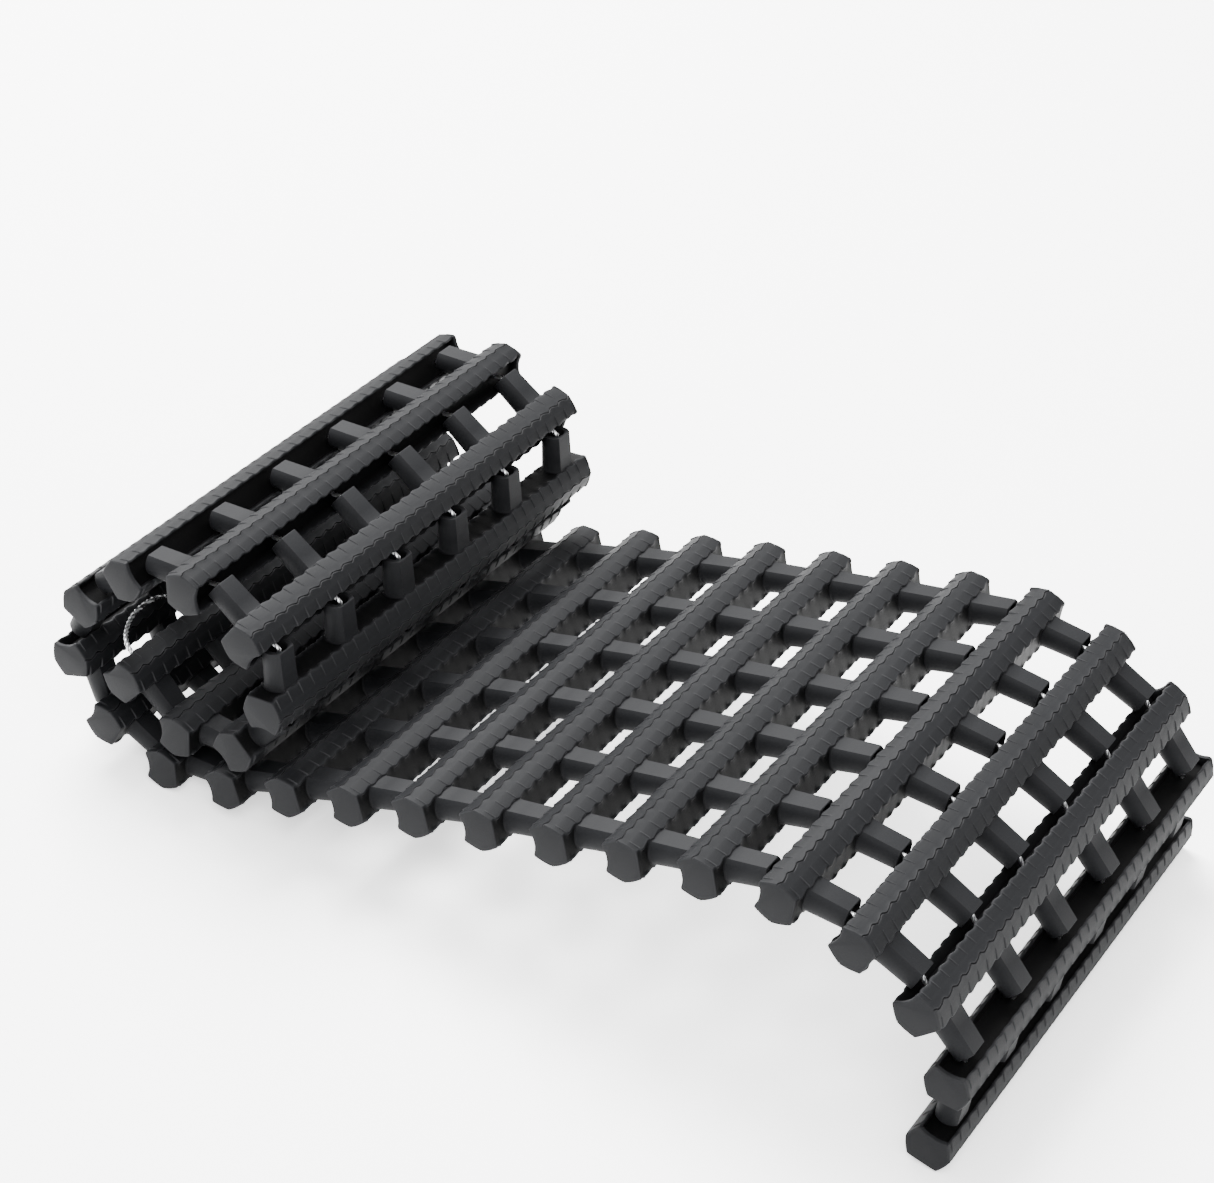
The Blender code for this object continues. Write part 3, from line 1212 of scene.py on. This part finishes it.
@dataclass
class CableCrimps:
    """The six pressed sleeves seated in the last rung's pockets."""

    pose: Matrix
    inner_x: float = 1.6 * MM
    outer_x: float = 7.9 * MM
    radius: float = 2.7 * MM
    bore: float = 1.35 * MM
    sides: int = 36

    def build(self, steel: bpy.types.Material) -> list[bpy.types.Object]:
        """Build every crimp.

        Args:
            steel: the sleeves' finish.

        Returns:
            The finished pieces.
        """
        pieces = []
        for number, y in enumerate(HOLE_ROWS, start=1):
            mesh = self._mesh(steel)
            mesh.transform(self.pose @ Matrix.Translation((0.0, y, 0.0)))
            piece = helper_object(f"pressed_sleeve_{number}", mesh)
            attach(piece, rung_name(RUNG_COUNT))
            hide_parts(f"cable_crimp_{number}")
            LOG.info("%s: %d faces", piece.name, len(mesh.polygons))
            pieces.append(piece)
        return pieces

    def _mesh(self, steel: bpy.types.Material) -> bpy.types.Mesh:
        """Make one sleeve with rounded rims and three pressed grooves.

        Args:
            steel: the sleeves' finish.

        Returns:
            The mesh, along +x.
        """
        profile = [(self.inner_x, self.bore), (self.inner_x, self.radius - 0.3 * MM)]
        profile.append((self.inner_x + 0.3 * MM, self.radius))
        for k in range(3):
            middle = self.inner_x + (1.5 + 1.6 * k) * MM
            for shift, depth in ((-0.45, 0.0), (-0.2, 0.22), (0.2, 0.22), (0.45, 0.0)):
                profile.append((middle + shift * MM, self.radius - depth * MM))
        profile += [
            (self.outer_x - 0.3 * MM, self.radius),
            (self.outer_x, self.radius - 0.3 * MM),
            (self.outer_x, self.bore + 0.2 * MM),
            (self.outer_x - 0.25 * MM, self.bore),
        ]
        rings = lathe_rings([*profile, profile[0]], self.sides)
        masks = [[(0.0, 0.0)] * self.sides] * len(rings)
        mesh = skin_rings("pressed_sleeve", rings, masks)
        face_outwards(mesh)
        mesh.materials.append(steel)
        mesh.shade_smooth()
        mesh.set_sharp_from_angle(angle=radians(50.0))
        return mesh


# --------------------------------------------------------------------------- the frame's poses


def rung_name(number: int) -> str:
    """Name of a rung's body and node."""
    return f"rung_{number:02d}"


class RungPoses:
    """Where every rung stands at rest, worked out from the frame's fold axes."""

    def measure(self) -> tuple[dict[int, Matrix], dict[int, float]]:
        """Find each rung's pose and the bend at each fold.

        Returns:
            Poses by rung number, and bends in radians by fold number.
        """
        folds = {int(joint["name"][-2:]): Vector(joint["pos_m"]) for joint in frame["joints"]}
        folds[0] = self._middle(rung_name(1))
        folds[RUNG_COUNT] = self._middle("cable_crimp_1")
        poses, turns = {}, {}
        for number in range(1, RUNG_COUNT + 1):
            behind, ahead = folds[number - 1], folds[number]
            turn = atan2(ahead.z - behind.z, ahead.x - behind.x)
            anchor, reach = ahead, HINGE_AHEAD
            if number == RUNG_COUNT:
                anchor, reach = behind, -HINGE_BEHIND
            place = Matrix.Translation((anchor.x, 0.0, anchor.z))
            face = Matrix.Rotation(-turn, 4, "Y")
            poses[number] = place @ face @ Matrix.Translation((-reach, 0.0, 0.0))
            turns[number] = turn
        bends = {}
        for number in range(1, RUNG_COUNT):
            bend = turns[number] - turns[number + 1]
            bends[number] = (bend + pi) % (2 * pi) - pi
        return poses, bends

    @staticmethod
    def _middle(node: str) -> Vector:
        """Middle of a CAD node's corners, which lies on the line through its holes.

        Args:
            node: the node's name.

        Returns:
            The middle.
        """
        points = frame["nodes"][node].data.vertices
        corners = {tuple(round(c, 6) for c in point.co) for point in points}
        return sum((Vector(corner) for corner in corners), Vector()) / len(corners)


# --------------------------------------------------------------------------- stage


@dataclass
class Studio:
    """The pale floor, the soft lights and the camera."""

    position: Point = (0.42079, -0.78025, 0.73120)
    aim: Point = (0.02268, -0.06985, 0.15083)
    roll: float = radians(-5.161)
    lens: float = 83.79
    floor_size: float = 9.0
    floor_tone: float = 0.95
    floor_glow: float = 1.0
    key_power: float = 335.0
    key_size: float = 1.5
    key_place: Point = (-1.25, 0.75, 1.95)
    fill_power: float = 42.0
    fill_size: float = 1.1
    fill_place: Point = (0.55, -1.00, 1.70)
    light_aim: Point = (0.0, 0.0, 0.05)
    world_strength: float = 2.05

    def build(self) -> None:
        """Build the floor, the lights, the sky and the camera."""
        self._floor()
        self._light("key", self.key_place, self.key_size, self.key_power)
        self._light("fill", self.fill_place, self.fill_size, self.fill_power)
        world = bpy.data.worlds.new("studio_sky")
        world.use_nodes = True
        sky = world.node_tree.nodes["Background"]
        sky.inputs["Color"].default_value = (1.0, 1.0, 1.0, 1.0)
        sky.inputs["Strength"].default_value = self.world_strength
        bpy.context.scene.world = world
        self._camera()

    def _floor(self) -> None:
        """Lay a plain pale floor, which glows a little so that shadows stay light."""
        half = self.floor_size / 2
        corners = [(-half, -half, 0.0), (half, -half, 0.0), (half, half, 0.0), (-half, half, 0.0)]
        mesh = bpy.data.meshes.new("floor")
        mesh.from_pydata(corners, [], [(0, 1, 2, 3)])
        material = bpy.data.materials.new("pale_floor")
        material.use_nodes = True
        shader = material.node_tree.nodes["Principled BSDF"]
        shader.inputs["Base Color"].default_value = (*(self.floor_tone,) * 3, 1.0)
        shader.inputs["Roughness"].default_value = 0.9
        shader.inputs["Emission Color"].default_value = (1.0, 1.0, 1.0, 1.0)
        shader.inputs["Emission Strength"].default_value = self.floor_glow
        mesh.materials.append(material)
        helper_object("floor", mesh)

    def _light(self, name: str, place: Point, size: float, power: float) -> None:
        """Hang one square soft light that faces the mat.

        Args:
            name: the light's name.
            place: where it hangs.
            size: the length of its side.
            power: its power in watts.
        """
        lamp = bpy.data.lights.new(name, "AREA")
        lamp.size = size
        lamp.energy = power
        holder = bpy.data.objects.new(name, lamp)
        bpy.context.scene.collection.objects.link(holder)
        holder.location = place
        toward = Vector(self.light_aim) - Vector(place)
        holder.rotation_euler = toward.to_track_quat("-Z", "Y").to_euler()

    def _camera(self) -> None:
        """Set the camera."""
        lens = bpy.data.cameras.new("view")
        lens.lens = self.lens
        lens.sensor_width = 36.0
        lens.clip_start = 0.01
        holder = bpy.data.objects.new("view", lens)
        bpy.context.scene.collection.objects.link(holder)
        toward = Vector(self.aim) - Vector(self.position)
        upright = toward.to_track_quat("-Z", "Y").to_matrix().to_4x4()
        turned = upright @ Matrix.Rotation(-self.roll, 4, "Z")
        holder.matrix_world = Matrix.Translation(self.position) @ turned
        bpy.context.scene.camera = holder


def main() -> None:
    logging.basicConfig(level=logging.INFO, format="%(name)s: %(message)s")
    poses, bends = RungPoses().measure()
    grain = make_grain_group()
    rubber = RubberFinish().build(grain)
    rope_steel = SteelFinish("rope_steel").build(grain)
    sleeve_steel = SteelFinish("sleeve_steel", (0.60, 0.61, 0.62), 0.34, 300.0).build(grain)
    Studio().build()
    RungSet(poses).build(rubber)
    WireRopes(poses, bends).build(rope_steel)
    CableCrimps(poses[RUNG_COUNT]).build(sleeve_steel)
    bpy.context.view_layer.update()


if __name__ == "__main__":
    main()
